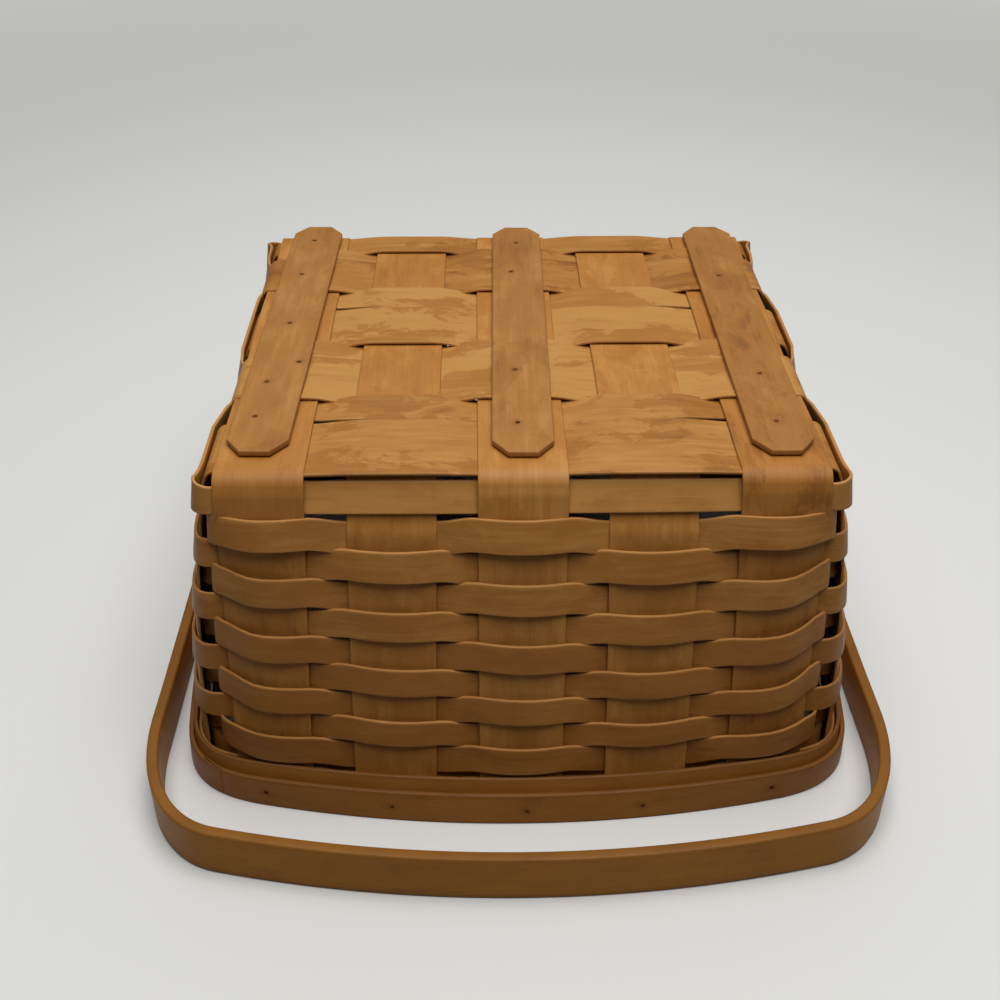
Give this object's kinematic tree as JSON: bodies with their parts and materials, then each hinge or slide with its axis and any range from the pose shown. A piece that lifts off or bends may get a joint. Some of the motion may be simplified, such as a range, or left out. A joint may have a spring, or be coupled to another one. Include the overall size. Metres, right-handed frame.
{
  "type": "picnic basket",
  "caption": "Rectangular woven splint picnic basket with flared walls, nailed base runners, a banded rim and a bent-wood swing handle.",
  "frame": {"origin": "on the surface it stands on, under the middle of the basket and its lowered handle", "axes": "+Z from the rim plane to the base, because the basket stands upside down as pictured; the handle lies towards -Y; turn 180 degrees about X for use"},
  "size_m": [0.305, 0.3027, 0.149],
  "materials": {
    "splint": "stained maple splint, satin",
    "weaver": "stained maple splint, satin",
    "rim": "stained hardwood band, satin",
    "runner": "stained hardwood slat, satin",
    "handle": "steam-bent hardwood, satin",
    "rivet": "dull brass"
  },
  "bodies": {
    "basket": {"lengthwise_splint_1": "splint", "lengthwise_splint_2": "splint", "lengthwise_splint_3": "splint", "lengthwise_splint_4": "splint", "lengthwise_splint_5": "splint", "cross_splint_1": "splint", "cross_splint_2": "splint", "cross_splint_3": "splint", "cross_splint_4": "splint", "cross_splint_5": "splint", "weaver_01": "weaver", "weaver_02": "weaver", "weaver_03": "weaver", "weaver_04": "weaver", "weaver_05": "weaver", "weaver_06": "weaver", "weaver_07": "weaver", "weaver_08": "weaver", "weaver_09": "weaver", "weaver_10": "weaver", "weaver_11": "weaver", "rim_strip": "rim", "outer_rim_band": "rim", "inner_rim_band": "rim", "runner_left": "runner", "runner_middle": "runner", "runner_right": "runner", "rivet_left": "rivet", "rivet_right": "rivet", "outer_washer_left": "rivet", "outer_washer_right": "rivet", "inner_washer_left": "rivet", "inner_washer_right": "rivet"},
    "handle": {"handle": "handle"}
  },
  "joints": [
    {"name": "handle_swing", "type": "hinge", "parent": "basket", "child": "handle", "pos_m": [0, 0.0175, 0.01], "axis": [1, 0, 0], "range_deg": [-39, 219]}
  ]
}
